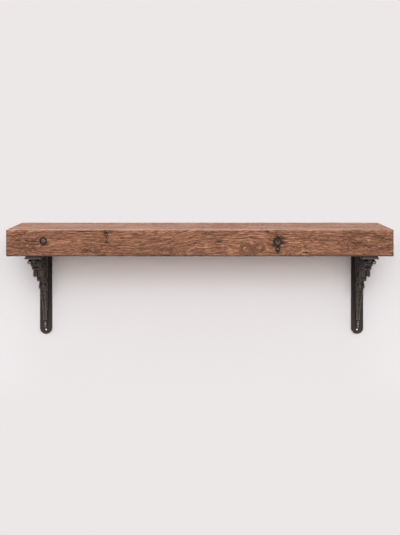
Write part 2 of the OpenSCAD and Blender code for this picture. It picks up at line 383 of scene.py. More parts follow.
# Knots on the front, in millimetres: middle, half size, outline's power, darkness of rim, heart and stain
knots = [
    {"at": (-403.4, 5.4), "half": (8.0, 8.8), "power": 2.0, "rim": 1.0, "heart": 0.75, "stain": 0.30},
    {"at": (-240.5, 21.5), "half": (3.6, 6.8), "power": 1.3, "rim": 1.4, "heart": 0.10, "stain": 1.0},
    {"at": (200.8, 3.4), "half": (10.2, 12.6), "power": 1.18, "rim": 1.0, "heart": 0.15, "stain": 1.0},
    {"at": (200.6, -15.4), "half": (5.2, 7.4), "power": 1.35, "rim": 1.8, "heart": 0.05, "stain": 0.8},
    {"at": (190.0, 28.5), "half": (9.0, 3.2), "power": 2.0, "rim": 0.0, "heart": 0.0, "stain": 0.7},
]

# Places on the front where the grain curls, in millimetres: middle, half size
curls = [
    ((136.0, -15.0), (40.0, 19.0)),
    ((-86.0, -20.0), (46.0, 14.0)),
    ((405.0, -6.0), (75.0, 26.0)),
    ((-448.0, 6.0), (55.0, 30.0)),
    ((-280.0, -20.0), (60.0, 14.0)),
    ((236.0, -18.0), (34.0, 17.0)),
]

# Weathered places on the front, which are flecked with short dark checks, in millimetres: middle, half size
weathered = [
    ((-448.0, 4.0), (66.0, 42.0)),
    ((-262.0, -14.0), (62.0, 26.0)),
    ((425.0, 6.0), (90.0, 40.0)),
    ((-265.0, 30.0), (70.0, 9.0)),
]

# Eyes in the grain, small ovals that it closes round, in millimetres: middle, half size
eyes = [
    ((120.0, -16.5), (20.0, 15.0)),
    ((153.0, -11.0), (16.0, 12.0)),
    ((-92.0, -25.0), (30.0, 12.0)),
]

# Drying cracks, in millimetres: face, middle, half size, rise along their length
cracks = [
    ("front", (-425.0, 4.4), (16.0, 1.5), 0.01),
    ("front", (-462.0, 21.9), (6.0, 1.7), -0.15),
    ("front", (-449.0, 25.5), (5.5, 1.5), -0.10),
    ("front", (-468.0, 6.4), (9.0, 1.3), 0.0),
    ("front", (-446.6, 5.6), (6.0, 2.6), -0.4),
    ("front", (-303.0, 30.2), (34.0, 1.3), 0.0),
    ("front", (-238.4, 1.6), (8.5, 1.7), -0.08),
    ("front", (-241.5, 5.0), (4.5, 2.0), 0.9),
    ("front", (-158.0, 2.3), (13.0, 1.5), 0.02),
    ("front", (49.6, 4.1), (11.0, 1.5), 0.10),
    ("front", (174.0, 31.0), (5.0, 1.6), -0.9),
    ("front", (198.6, 5.6), (5.6, 1.6), 1.1),
    ("front", (203.4, -2.0), (5.0, 1.5), -1.3),
    ("front", (271.0, -24.0), (7.0, 1.8), 0.05),
    ("front", (404.0, 0.2), (16.0, 1.8), 0.05),
    ("front", (488.0, 9.7), (13.0, 1.4), 0.02),
    ("top", (168.0, -196.0), (8.0, 2.8), -1.5),
    ("top", (345.0, -116.0), (15.0, 3.6), 0.0),
    ("top", (-120.0, -120.0), (38.0, 1.4), 0.02),
]


def addNoises(add, spot, noises):
    # Adds each noise at its own stretch of the given place, and returns them by name
    made = {}
    for name, (size, settings) in noises.items():
        place = add("VectorMath", spot, [1 / part for part in size], **times)
        made[name] = add("TexNoise", place, Scale=1.0, **settings)
    return made


def ovalReach(add, parts, at, half, power=2.0):
    # How far a place lies from an oval's middle: 1 on its outline, which a low power draws to a diamond
    sides = []
    for part, middle, size in zip(parts, at, half):
        share = add("Math", add("Math", part, middle, **minus), size, operation="DIVIDE")
        sides.append(add("Math", add("Math", share, operation="ABSOLUTE"), power, operation="POWER"))
    return add("Math", add("Math", *sides), 1 / power, operation="POWER")


def overFront(add, field, areas, fade):
    # 1 well inside any of the ovals on the front, 0 outside them all
    found = 0.0
    for at, half in areas:
        reach = ovalReach(add, field["here"], at, half)
        found = add("Math", found, add("MapRange", reach, *fade, **soft), **most)
    return add("Math", found, field["onFront"], **times)


def bendGrain(add, field, spot, values):
    # Where the grain is read: it bends slowly, curls in places, climbs along the front, closes round the eyes
    curl = overFront(add, field, curls, values["curlFade"])
    curl = add("Math", curl, 2 * values["curlReach"], **times)
    for name, reach in (("bend", 2 * values["swayReach"]), ("burl", curl)):
        turn = add("VectorMath", field[name].outputs["Color"], (0.5, 0.5, 0.5), **minus)
        spot = add("VectorMath", spot, add("VectorMath", turn, operation="SCALE", Scale=reach))
    x, y, z = add("SeparateXYZ", spot).outputs
    start, end, rise = values["climb"]
    z = add("Math", z, add("MapRange", field["x"], start, end, To_Max=rise, **soft), **minus)
    for at, half in eyes:
        reach = add("Math", ovalReach(add, field["here"], at, half), field["ragged"])
        inside = add("MapRange", reach, *values["eyeFade"], **soft)
        inside = add("Math", inside, field["onFront"], **times)
        z = add("Mix", inside, z, add("Math", reach, half[1], **times))
    return x, y, z


def markKnots(add, field, flowZ, values):
    # The grain's height as it flows round the knots, and the knots' rims, hearts and stains
    here = field["here"]
    marks = {"rim": 0.0, "heart": 0.0, "stain": 0.0}
    for knot in knots:
        at, half = knot["at"], knot["half"]
        far = ovalReach(add, here, at, [size * share for size, share in zip(half, values["pullReach"])])
        far = add("Math", far, 2.0, operation="POWER")
        near = add("Math", values["pullFall"], far, operation="POWER")
        near = add("Math", add("Math", near, field["onFront"], **times), values["pullShare"], **times)
        pull = add("Math", near, add("Math", field["z"], at[1], **minus), **times)
        flowZ = add("Math", flowZ, pull, **minus)
        out = add("Math", ovalReach(add, here, at, half, knot["power"]), field["ragged"])
        halo = ovalReach(add, here, at, [size * share for size, share in zip(half, values["haloReach"])])
        halo = add("Math", halo, field["ragged"])
        rimIn, rimOut, heart = [add("MapRange", out, *values[name], **soft)
                                for name in ("rimIn", "rimOut", "heartFade")]
        found = {"rim": add("Math", rimIn, rimOut, **times), "heart": heart,
                 "stain": add("MapRange", halo, *values["haloFade"], **soft)}
        for name, share in found.items():
            marks[name] = add("Math", marks[name], add("Math", share, knot[name], **times), **most)
    return flowZ, {name: add("Math", mark, field["onFront"], **times) for name, mark in marks.items()}


def markCracks(add, field, values):
    # 1 along the middle of each drying crack
    found = 0.0
    for face, at, (long, thick), rise in cracks:
        shown, part = ("onFront", "z") if face == "front" else ("onTop", "y")
        along = add("Math", field["x"], at[0], **minus)
        middle = add("Math", along, rise, at[1], operation="MULTIPLY_ADD")
        aside = add("Math", field[part], middle, **minus)
        aside = add("Math", field["ragged"], values["crackSway"], aside, operation="MULTIPLY_ADD")
        along, aside = [add("Math", offset, operation="ABSOLUTE") for offset in (along, aside)]
        ends = add("MapRange", along, long, long * values["crackEnds"], **soft)
        lips = add("MapRange", aside, thick, thick * values["crackLips"], **soft)
        lips = add("Math", lips, field[shown], **times)
        found = add("Math", found, add("Math", ends, lips, **times), **most)
    return found


def growthRings(add, y, z, values):
    # 1 in the hard late wood of each ring round the pith
    across = [add("Math", part, at, **minus) for part, at in zip((y, z), values["pith"])]
    around = add("VectorMath", add("CombineXYZ", 0.0, *across), operation="LENGTH")
    ring = add("Math", add("Math", around, values["ringWidth"], operation="DIVIDE"), operation="FRACT")
    darkens, clears = [add("MapRange", ring, *values[name], **soft) for name in ("ringDarkens", "ringClears")]
    return add("Math", darkens, clears, **times)


def grainField(add, place, values):
    # The wood as numbers from 0 to 1, from a place in metres: one field cuts the relief and paints the wood
    spot = add("VectorMath", place, operation="SCALE", Scale=1000.0)
    x, y, z = add("SeparateXYZ", spot).outputs
    field = {"x": x, "y": y, "z": z, "here": (x, z), **addNoises(add, spot, woodNoises)}
    field["onFront"] = add("MapRange", y, *values["frontBand"], **soft)
    field["onTop"] = add("MapRange", z, *values["topBand"], **soft)
    field["onEnd"] = add("MapRange", add("Math", x, operation="ABSOLUTE"), *values["endBand"], **soft)
    field["ragged"] = add("Math", add("Math", field["wobble"], 0.5, **minus), values["ragged"], **times)
    flowX, flowY, flowZ = bendGrain(add, field, spot, values)
    flowZ, marks = markKnots(add, field, flowZ, values)
    field.update(marks, crack=markCracks(add, field, values))
    field.update(addNoises(add, add("CombineXYZ", flowX, flowY, flowZ), grainNoises))
    flecked = overFront(add, field, weathered, values["weatherFade"])
    field["pore"] = add("Math", flecked, values["fleckShare"], field["pore"], operation="MULTIPLY_ADD")

    # The height: streaks drawn out along the board, thin lines cut into them, and the rings
    height = 0.0
    for name, share in values["shares"].items():
        height = add("Math", field[name], share, height, operation="MULTIPLY_ADD")
    height = add("MapRange", height, *values["contrast"], **soft)
    fromLine = add("Math", add("Math", field["line"], 0.5, **minus), operation="ABSOLUTE")
    lined = add("MapRange", fromLine, 0.0, values["lineHalf"], values["lineDepth"], 0.0, **soft)
    height = add("Math", height, lined, use_clamp=True, **minus)
    ring = growthRings(add, flowY, flowZ, values)
    ringRise = add("Math", ring, 0.5, **minus)
    height = add("Math", ringRise, values["ringShare"], height, operation="MULTIPLY_ADD")

    # The top is worn calmer, and the ends show the rings alone
    calm = add("MapRange", field["onTop"], To_Min=1.0, To_Max=values["topRelief"])
    height = add("Math", add("Math", height, 0.5, **minus), calm, 0.5, operation="MULTIPLY_ADD")
    field["height"] = add("Mix", field["onEnd"], height,
                          add("Math", ring, *values["endRing"], operation="MULTIPLY_ADD"))
    return field


def edgeNearness(add, field, box, reach):
    # 1 on the board's edges and 0 further in than the reach: two faces have to be near
    nears = []
    for part, start, end in zip("xyz", *box):
        offset = add("Math", field[part], (start + end) * 500, **minus)
        inward = add("Math", (end - start) * 500, add("Math", offset, operation="ABSOLUTE"), **minus)
        nears.append(add("MapRange", inward, reach, 0.0, **soft))
    pairs = [add("Math", nears[i], nears[j], **times) for i, j in ((0, 1), (1, 2), (0, 2))]
    return add("Math", add("Math", pairs[0], pairs[1], **most), pairs[2], **most)


def cutRelief(piece, box, values):
    # Moves the surface inward only, so that the board keeps its size
    tree = bpy.data.node_groups.new("brushedRelief", "GeometryNodeTree")
    add = partial(addNode, tree)
    for way in ("INPUT", "OUTPUT"):
        tree.interface.new_socket("Mesh", in_out=way, socket_type="NodeSocketGeometry")
    mesh = add("NodeGroupInput").outputs[0]
    field = grainField(add, add("GeometryNodeInputPosition"), values)
    low = add("Math", 1.0, field["height"], **minus)
    low = add("Math", low, add("Math", field["rim"], field["crack"], **most), **most)
    edge = edgeNearness(add, field, box, values["edgeReach"])
    worn = add("Math", edge, add("MapRange", field["chip"], *values["chips"], **soft), **times)
    depth = add("Math", low, -values["reliefDepth"], add("Math", worn, -values["edgeDepth"], **times),
                operation="MULTIPLY_ADD")
    calm = add("MapRange", field["onEnd"], To_Min=1.0, To_Max=values["endRelief"])
    depth = add("Math", depth, calm, **times)
    inward = add("VectorMath", add("GeometryNodeInputNormal"), operation="SCALE", Scale=depth)
    add("NodeGroupOutput", add("GeometryNodeSetPosition", mesh, Offset=inward))
    workOn(piece)
    relief = piece.modifiers.new("relief", "NODES")
    relief.node_group = tree
    bpy.ops.object.modifier_apply(modifier=relief.name)


def buildBoard(values):
    low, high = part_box("shelf_board")
    bpy.ops.mesh.primitive_cube_add(size=1, location=(low + high) / 2, scale=high - low)
    piece = added("brushedBoard")
    bpy.ops.object.mode_set(mode="EDIT")
    bpy.ops.mesh.select_all(action="SELECT")
    bpy.ops.mesh.bevel(offset=values["edgeRound"], segments=values["roundSteps"], affect="EDGES")
    for axis, passes in values["cells"].items():
        longest = (high - low)[axis] * values["longEdge"]
        for count in passes:
            pick(piece, "EDGE", lambda edge: abs((edge.verts[0].co - edge.verts[1].co)[axis]) > longest)
            bpy.ops.mesh.subdivide(number_cuts=count - 1)
            longest /= count
    bpy.ops.object.mode_set(mode="OBJECT")
    cutRelief(piece, (low, high), values)
    bpy.ops.object.shade_smooth()
    piece.data.materials.append(paintWood((low, high), values))
    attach(piece, "root")
    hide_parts("shelf_board")
    print("board modelled:", len(piece.data.polygons), "faces")


woodColours = {
    "valley": "#5F3C2C", "low": "#956247", "middle": "#BB7E5E", "ridge": "#CE9372", "crest": "#DDA585",
    "grey": "#886C58", "knot": "#0E0806", "heart": "#6A5044", "worn": "#E8BFA6", "dirt": "#3A2318",
    "dusty": "#C69A87", "endGrain": "#6B4A3A",
}

# The heights of the grain at which each colour lies, from the brushed-out hollows to the proud hard grain.
# The darker hollows are partly the wood's own tone and partly painted shade
woodStops = [(0.0, "valley"), (0.24, "low"), (0.50, "middle"), (0.78, "ridge"), (1.0, "crest")]

# How the paint reads the field: which part, what it runs between, and the shares that it gives there
woodTones = {
    "rubs": ("chip", 0.40, 0.58, 0.05, 1.0),  # breaks up the rubbed edges
    "poreGroups": ("patch", 0.42, 0.62, 0.35, 1.0),
    "stainBreaks": ("burl", 0.58, 0.42, 0.2, 1.0),
    "low": ("slow", 0.48, 0.66, 0.0, 0.25),
    "grey": ("patch", 0.52, 0.76, 0.0, 0.3),
    "dusty": ("bleach", 0.40, 0.58, 0.8, 0.0),
    "rough": ("height", 0.0, 1.0, 0.74, 0.52),
}


def paintWood(box, values):
    # Reclaimed pine, wire-brushed and waxed: pale hard grain over dark hollows, their darkness partly painted
    # shade, with a low sheen and a painted sheen on the top
    material, add = newMaterial("brushedReclaimedPine")
    field = grainField(add, add("TexCoord").outputs["Object"], values)
    tone = {name: add("MapRange", field[part], *span) for name, (part, *span) in woodTones.items()}
    colour = add("ValToRGB", field["height"])
    for number, (at, name) in enumerate(woodStops):
        stop = colour.color_ramp.elements[number] if number < 2 else colour.color_ramp.elements.new(at)
        stop.position = at
        stop.color = fromHex(woodColours[name])

    # The top's front edge is drawn pale, rubbed by hands and with a painted highlight along it, and the other
    # edges are rubbed less. The low edges and the ends are drawn darker
    edge = edgeNearness(add, field, box, values["edgeReach"])
    start, end, left = values["browEnds"]
    browWearAndHighlight = add("Math", add("MapRange", field["y"], *values["browDepth"]),
               add("MapRange", field["z"], *values["browHeight"]), **times)
    browWearAndHighlight = add("Math", browWearAndHighlight, add("MapRange", field["x"], start, end, 1.0, left), **times)
    undarkened = add("Math", add("MapRange", field["z"], *values["darkEdgeHeight"], **soft),
                add("MapRange", add("Math", field["x"], operation="ABSOLUTE"), *values["darkEdgeEnds"]), **times)
    rubs = add("Math", add("Math", edge, values["edgeRub"], **times), undarkened, **times)
    dirt = add("Math", edge, values["darkEdgeShare"], **times)
    dirt = add("Math", dirt, add("Math", 1.0, undarkened, **minus), **times)
    pores = add("MapRange", field["pore"], *values["pores"], **soft)
    pores = add("Math", pores, tone["poreGroups"], **times)
    stain = add("Math", field["stain"], tone["stainBreaks"], **times)
    colour = overlay(add, colour, [
        ("low", tone["low"]),
        ("grey", tone["grey"]),
        # Dust, and a painted sheen: the top is drawn paler for the light that grazes it
        ("dusty", field["onTop"], tone["dusty"]),
        ("endGrain", field["onEnd"], values["endShare"]),
        ("valley", pores),
        # Knot stains, and the low edges and the ends drawn darker
        ("dirt", add("Math", stain, dirt, **most)),
        ("heart", field["heart"]),
        ("knot", add("Math", field["rim"], field["crack"], **most)),
        # Rubbed edges, and a painted highlight along the top's front edge
        ("worn", add("Math", browWearAndHighlight, rubs, **most), tone["rubs"]),
    ], woodColours)
    rough = add("Math", tone["rough"], add("Math", field["onTop"], values["topPolish"], **times), **minus)
    raised = add("Math", field["height"], add("Math", pores, values["poreDepth"], **times), **minus)
    bump = add("Bump", Strength=1.0, Distance=values["bumpDepth"], Height=raised)
    add("OutputMaterial", add("BsdfPrincipled", colour, Roughness=rough, Normal=bump,
                              Specular_IOR_Level=values["sheen"]))
    return material


buildBoard(board)


# The brackets: one iron casting modelled once, from the CAD casting with its leaf work added, then copied

casting = {
    "ribCentre": (262.4, -262.0),  # middle of the rib's curve: out from the wall, up from the arm's top
    "ribFront": 248.0,  # radius of the rib's front face, millimetres
    "ribAngles": (104.5, 165.9),  # from its tip under the arm to its foot on the plate
    "ribBack": 258.0,
    "corner": (49.7, -50.7, 42.7),  # the large scroll's middle and radius
    "armUnder": -8.0,
    "plateFront": 7.0,
    "scrollHalf": 6.0,  # half the thickness of the scrolls
    "scrollsASide": 3,  # beside the large one, along the arm and down the plate
    # Painted glints: out, up, across to the shelf's end and radius, on the knob's outer ball and the beads
    "glintSpots": [(210.5, -17.4, 9.4, 2.9), (19.4, -204.6, 0.0, 1.5), (20.2, -210.4, 0.0, 2.2),
                 (19.4, -217.4, 0.0, 1.5)],
    # And painted shade: dark spots on the knob's inner ball and the far side of its outer one
    "shadeSpots": [(208.5, -16.5, -11.2, 6.6), (204.0, -15.5, 15.8, 4.2)],
    "boardShadow": (-200.0, -60.0),  # heights between which the board's painted shadow darkens the iron towards the board
    "voxel": 0.00105,
    "castPits": 0.00018,  # depth of the sand-cast skin
    "castGrain": 0.004,
    "castDetail": 2,
    "softening": {"factor": 0.5, "iterations": 2},
    # The leaf's finer work, in millimetres, shares and degrees
    "curlShare": 0.66,  # a lobe's curl, as a share of the lobe's radius
    "curlWire": 1.1,
    "curlEye": (1.0, 2.2, 2.2),
    "eyeFrom": 15.0,  # radius from which a scroll has a domed eye
    "eyeHalf": (3.2, 0.17),  # its half thickness, and its radius as a share of the scroll's
    "eyeAcross": 0.7,  # how far out on the scroll's thickness it sits
    "bandMost": 6.5,  # the widest band
    "bandShare": 0.3,  # and the width on a small scroll, as a share of its radius
    "bandAcross": 0.8,
    "bandProud": 0.8,  # how far the band stands out past the scroll's radius
    "bandWire": 0.42,  # its half thickness, as a share of its width
    "husks": 8,
    "huskDown": (0.535, 0.056),  # share of the way down the rib, and the step to the next pair
    "huskSwell": (1.10, -0.085),  # size of the first pair, and how it changes with each step
    "huskAside": 3.5,
    "huskHalf": (1.6, 7.2, 1.7),
    "huskLean": 15.0,
    "notchStep": 0.012,  # how much further down than its husks a notch lies
    "notchHalf": (0.9, 3.0, 1.3),
    "ballSteps": (20, 12),  # corners round a ball and from its one end to the other
    "rimSteps": (32, 10),  # and round a ring and its wire
    "curlSteps": (28, 8),
    "bandSteps": (48, 10),
    # The paint
    "edges": (0.472, 0.56),  # how sharp the edges are that wear
    "corners": (0.60, 0.70),  # and the corners that get a painted highlight
    "hollows": (0.80, 0.32),  # how open to the air the hollows are, which get painted shade
    "shade": {"Distance": 0.012, "samples": 12},
    "raised": (1.5, 5.0),  # how far before the plate the wear fades in, millimetres
    "plateWear": 0.12,  # what of it the plate itself takes
    "back": (2.0, 0.6),  # distance from the wall at which the cast back starts, millimetres
    "rubs": (0.3, 0.6, 0.5, 1.0),  # the patches that break up the worn edges
    "backRubs": (0.35, 0.65, 0.1, 0.5),
    "rubShare": 0.64,
    "boardShadowShares": (0.0, 1.0, 0.62, 0.36),  # how dark the board's painted shadow is, on the plate and where it is raised
    "shadeSpotShare": 0.8,
    "glintShare": 0.65,
    "spotCore": 0.4,  # share of a spot's radius that is full
    "rough": (0.3, 0.7, 0.5, 0.66),
    "bump": {"Strength": 0.4, "Distance": 0.0004},
    "sheen": 0.18,  # the wax fills what would shine
}

# The leaf's lobes on the rib: share of the way down it, radius, how far proud, half thickness, millimetres
leafLobes = [
    (0.07, 8.0, 3.0, 10.5),
    (0.148, 7.0, 5.0, 10.4),
    (0.265, 10.0, 15.0, 10.2),
    (0.42, 9.0, 5.0, 7.3),
]

# Forms added to the casting: kind, place out, up and across the middle, degrees that it looks below level,
# half sizes across, along and deep, and a rim's thickness. A pit is cut out.
leafForms = [
    ("rim", (147.0, -53.0, 5.7), 4, (4.0, 8.6, 4.0), 1.5),
    ("pit", (148.0, -52.0, 0.0), 4, (1.5, 3.4, 7.0)),
    ("lump", (139.5, -54.0, 9.6), 8, (3.1, 11.0, 10.5)),
    ("lump", (84.0, -93.5, 4.9), 45, (2.1, 13.0, 3.0)),
    ("rim", (172.0, -36.5, 5.6), 40, (4.2, 5.2, 4.0), 1.5),
    ("pit", (172.5, -37.0, 5.6), 40, (1.8, 2.6, 3.0)),
    ("rim", (118.0, -63.5, 0.0), 54, (5.6, 17.5, 5.0), 1.9),
    ("lump", (122.0, -61.0, 0.0), 54, (1.2, 11.0, 2.2)),
    ("pit", (107.5, -72.5, 0.0), 54, (2.2, 3.2, 4.5)),
    ("pit", (200.0, -20.0, 4.4), 0, (1.6, 7.0, 8.0)),
    ("pit", (189.0, -18.0, 12.0), 0, (2.8, 6.5, 9.0)),
    ("lump", (206.0, -16.8, 10.8), 0, (5.2, 5.2, 5.0)),
    ("bar", (212.0, -6.0, 0.0), 0, (22.3, 2.0, 3.0)),
]


def castingSpot(out, up, across):
    # A place on the left casting, from millimetres out from the wall, up from the arm's top and across
    low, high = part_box("left_bracket")
    return Vector(((low.x + high.x) / 2 + across / 1000, -out / 1000, high.z + up / 1000))


def ribSpot(values, down, proud=0.0):
    # Out and up of a point on the rib's front face, and the degrees that the face looks below level
    start, end = values["ribAngles"]
    angle = start + (end - start) * down
    reach = values["ribFront"] - proud
    turn = math.radians(angle)
    middle = values["ribCentre"]
    return middle[0] + reach * math.cos(turn), middle[1] + reach * math.sin(turn), angle - 90


def addRing(place, radius, wire, steps, turn=(0, math.pi / 2, 0)):
    # A ring of round wire, both in millimetres, which faces across the casting unless it is turned
    around, section = steps
    bpy.ops.mesh.primitive_torus_add(major_segments=around, minor_segments=section, location=place,
                                     rotation=turn, major_radius=radius / 1000, minor_radius=wire / 1000)
    return bpy.context.active_object


def addForm(values, kind, at, looks, half, rim=1.0, lean=0.0):
    # A form's depth is turned towards the front, some degrees below level, and leans to its side
    place = castingSpot(*at)
    turn = (math.radians(90 - looks), math.radians(lean), 0)
    if kind == "bar":
        bpy.ops.mesh.primitive_cube_add(size=0.002, location=place, rotation=turn, scale=half)
    elif kind == "rim":
        ring = addRing(place, 1.0, rim / half[0], values["rimSteps"], turn)
        ring.scale = (half[0] - rim / 2, half[1] - rim / 2, half[0])
    else:
        around, rows = values["ballSteps"]
        bpy.ops.mesh.primitive_uv_sphere_add(segments=around, ring_count=rows, radius=0.001, location=place,
                                             rotation=turn, scale=half)
    return bpy.context.active_object


def scrollCircles(values):
    # The scrolls are circles that touch the rib's back, and the arm or the plate, and each other
    back = values["ribBack"]
    ribOut, ribUp = values["ribCentre"]
    out, up, radius = values["corner"]
    circles = [(out, up, radius)]
    for onArm in (True, False):
        if onArm:
            along, side = ribOut - out, values["armUnder"] - ribUp
        else:
            along, side = up - ribUp, ribOut - values["plateFront"]
        start = along - radius
        reach = side + back
        for _ in range(values["scrollsASide"]):
            along = math.sqrt(reach ** 2 - side ** 2 + back ** 2 + 2 * reach * start) - reach
            size = (along ** 2 + side ** 2 - back ** 2) / 2 / reach
            if onArm:
                circles.append((ribOut - along, values["armUnder"] - size, size))
            else:
                circles.append((values["plateFront"] + size, ribUp + along, size))
            start = along - size
    return circles


def growForms(values):
    # The forms of the table, on both sides of the leaf unless they lie in its middle
    parts, pits = [], []
    for kind, (out, up, across), *rest in leafForms:
        for side in (-1, 1) if across else (1,):
            made = addForm(values, kind, (out, up, across * side), *rest)
            (pits if kind == "pit" else parts).append(made)
    return parts, pits


def growLobes(values):
    # Each lobe ends in a curl on both of its sides, with an eye
    parts = []
    for down, radius, proud, half in leafLobes:
        out, up, looks = ribSpot(values, down, proud - radius)
        for side in (-1, 1):
            at = (out, up, side * half)
            curl = radius * values["curlShare"]
            parts.append(addRing(castingSpot(*at), curl, values["curlWire"], values["curlSteps"]))
            parts.append(addForm(values, "lump", at, looks, values["curlEye"]))
    return parts


def growBands(values):
    # A raised band on each scroll, and a domed eye in the large ones
    parts = []
    thick, wide = values["eyeHalf"]
    for out, up, radius in scrollCircles(values):
        band = min(values["bandMost"], radius * values["bandShare"])
        for side in (-1, 1):
            across = side * values["scrollHalf"]
            if radius > values["eyeFrom"]:
                parts.append(addForm(values, "lump", (out, up, across * values["eyeAcross"]), 0,
                                     (thick, radius * wide, radius * wide)))
            place = castingSpot(out, up, across * values["bandAcross"])
            middle = radius + values["bandProud"] - band / 2
            parts.append(addRing(place, middle, band * values["bandWire"], values["bandSteps"]))
    return parts


def growHusks(values):
    # Husks in pairs down the stem, which shrink towards the foot, with a notch cut between the two
    parts, pits = [], []
    firstDown, downStep = values["huskDown"]
    firstSwell, swellStep = values["huskSwell"]
    wide, long, deep = values["huskHalf"]
    notchWide, notchLong, notchDeep = values["notchHalf"]
    for number in range(values["husks"]):
        down = firstDown + number * downStep
        swell = firstSwell + number * swellStep
        out, up, looks = ribSpot(values, down)
        for side in (-1, 1):
            parts.append(addForm(values, "lump", (out, up, side * values["huskAside"] * swell), looks,
                                 (wide * swell, long * swell, deep), lean=-side * values["huskLean"]))
        out, up, looks = ribSpot(values, down + values["notchStep"])
        pits.append(addForm(values, "pit", (out, up, 0.0), looks, (notchWide, notchLong * swell, notchDeep)))
    return parts, pits


def joined(parts, name):
    bpy.ops.object.select_all(action="DESELECT")
    for part in parts:
        part.select_set(True)
    bpy.context.view_layer.objects.active = parts[0]
    bpy.ops.object.join()
    return added(name)


def finishWith(piece, kind, **settings):
    # Adds a modifier and applies it
    workOn(piece)
    modifier = piece.modifiers.new(kind.lower(), kind)
    for key, value in settings.items():
        setattr(modifier, key, value)
    bpy.ops.object.modifier_apply(modifier=modifier.name)


def copyOfNode(name, weld=0.00001):
    # A CAD node's mesh as a new object, its loose triangles merged
    workOn(frame["nodes"][name])
    bpy.ops.object.duplicate()
    copy = bpy.context.active_object
    copy.parent = None
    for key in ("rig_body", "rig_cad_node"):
        del copy[key]
    copy.data.materials.clear()
    onWhole(bpy.ops.mesh.remove_doubles, threshold=weld)
    return copy


def castOne(values):
    # The CAD casting and its leaf work run together into one skin, with the pits cut out of it
    body = copyOfNode("left_bracket")
    forms, pits = growForms(values)
    lobes = growLobes(values)
    bands = growBands(values)
    husks, notches = growHusks(values)
    piece = joined([body, *forms, *lobes, *bands, *husks], "leftCasting")
    finishWith(piece, "REMESH", mode="VOXEL", voxel_size=values["voxel"])
    cutter = joined([*pits, *notches], "leafPits")
    finishWith(piece, "BOOLEAN", operation="DIFFERENCE", solver="MANIFOLD", object=cutter)
    bpy.data.objects.remove(cutter)
    finishWith(piece, "SMOOTH", **values["softening"])
    skin = bpy.data.textures.new("castSkin", "CLOUDS")
    skin.noise_scale = values["castGrain"]
    skin.noise_depth = values["castDetail"]
    finishWith(piece, "DISPLACE", texture=skin, strength=values["castPits"], mid_level=1.0)
    bpy.ops.object.shade_smooth()
    return piece


def buildBrackets(values):
    piece = castOne(values)
    piece.data.materials.clear()
    piece.data.materials.append(paintIron(values))
    bpy.ops.object.duplicate()
    bpy.context.active_object.location.x = (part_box("right_bracket")[0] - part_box("left_bracket")[0]).x
    other = added("rightCasting")
    for side, made in (("left", piece), ("right", other)):
        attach(made, "root")
        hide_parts(side + "_bracket")
    print("brackets modelled:", len(piece.data.polygons), "faces each")


ironColours = {
    "plain": "#28221F", "warm": "#37302B", "rubbed": "#9A8D85", "bright": "#C2B8B1", "hollow": "#0C0A08",
}

# Noises in the iron: sizes in millimetres, and their settings
ironNoises = {
    "patch": ((14, 14, 14), {"Detail": 3.0, "Roughness": 0.6}),
    "skin": ((1.4, 1.4, 1.4), {"Detail": 2.0}),
}


def castingPlace(add, place):
    # Out from the wall, up from the arm's top, and across from a casting's middle to the shelf's end
    x, y, z = add("SeparateXYZ", place).outputs
    left, right = [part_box(side + "_bracket") for side in ("left", "right")]
    middles = [abs(low.x + high.x) * 500 for low, high in (left, right)]
    across = add("Math", add("Math", x, operation="ABSOLUTE"),
                 add("MapRange", x, -1.0, 1.0, *middles), **minus)
    return add("Math", y, -1.0, **times), add("Math", z, left[1].z * 1000, **minus), across


def paintIron(values):
    # Grey iron, sand cast, blacked and waxed: near black and rubbed grey where it is proud, with painted
    # shade in its hollows, under the board and on the knob, and painted highlights on its sharpest corners,
    # the knob and the beads
    material, add = newMaterial("blackenedCastIron")
    place = add("VectorMath", add("TexCoord").outputs["Object"], operation="SCALE", Scale=1000.0)
    noises = addNoises(add, place, ironNoises)
    sharp = add("NewGeometry").outputs["Pointiness"]
    openness = add("AmbientOcclusion", **values["shade"]).outputs["AO"]
    out, up, across = castingPlace(add, place)
    spot = add("CombineXYZ", out, up, across)
    marks = {"glintSpots": 0.0, "shadeSpots": 0.0}
    for name in marks:
        for *at, reach in values[name]:
            gap = add("VectorMath", spot, at, operation="DISTANCE")
            shown = add("MapRange", gap, reach, reach * values["spotCore"], **soft)
            marks[name] = add("Math", marks[name], shown, **most)

    start, end = [values["plateFront"] + step for step in values["raised"]]
    raised = add("MapRange", out, start, end, values["plateWear"], **soft)
    back = add("MapRange", out, *values["back"])
    boardShadow = add("MapRange", up, *values["boardShadow"])
    rubs, backRubs = [add("MapRange", noises["patch"], *values[name]) for name in ("rubs", "backRubs")]
    colour = overlay(add, fromHex(ironColours["plain"]), [
        ("warm", noises["patch"]),
        ("rubbed", add("MapRange", sharp, *values["edges"], **soft), raised, rubs, values["rubShare"]),
        # Painted highlight on the sharpest corners
        ("bright", add("MapRange", sharp, *values["corners"], **soft), raised),
        # Painted shade where the hollows are closed to the air
        ("hollow", add("MapRange", openness, *values["hollows"], **soft)),
        # Painted shadow of the board, darker towards it
        ("hollow", boardShadow, add("Math", 1.0, back, **minus), add("MapRange", raised, *values["boardShadowShares"])),
        ("rubbed", back, backRubs),
        # Painted shade on the knob's balls
        ("hollow", marks["shadeSpots"], values["shadeSpotShare"]),
        # Painted glints on the knob's outer ball and the beads
        ("bright", marks["glintSpots"], values["glintShare"]),
    ], ironColours)
    rough = add("MapRange", noises["patch"], *values["rough"])
    bump = add("Bump", Height=noises["skin"], **values["bump"])
    add("OutputMaterial", add("BsdfPrincipled", colour, Roughness=rough, Normal=bump,
                              Specular_IOR_Level=values["sheen"]))
    return material


buildBrackets(casting)


# The screws: round-head wood screws up through the arms, one modelled and copied

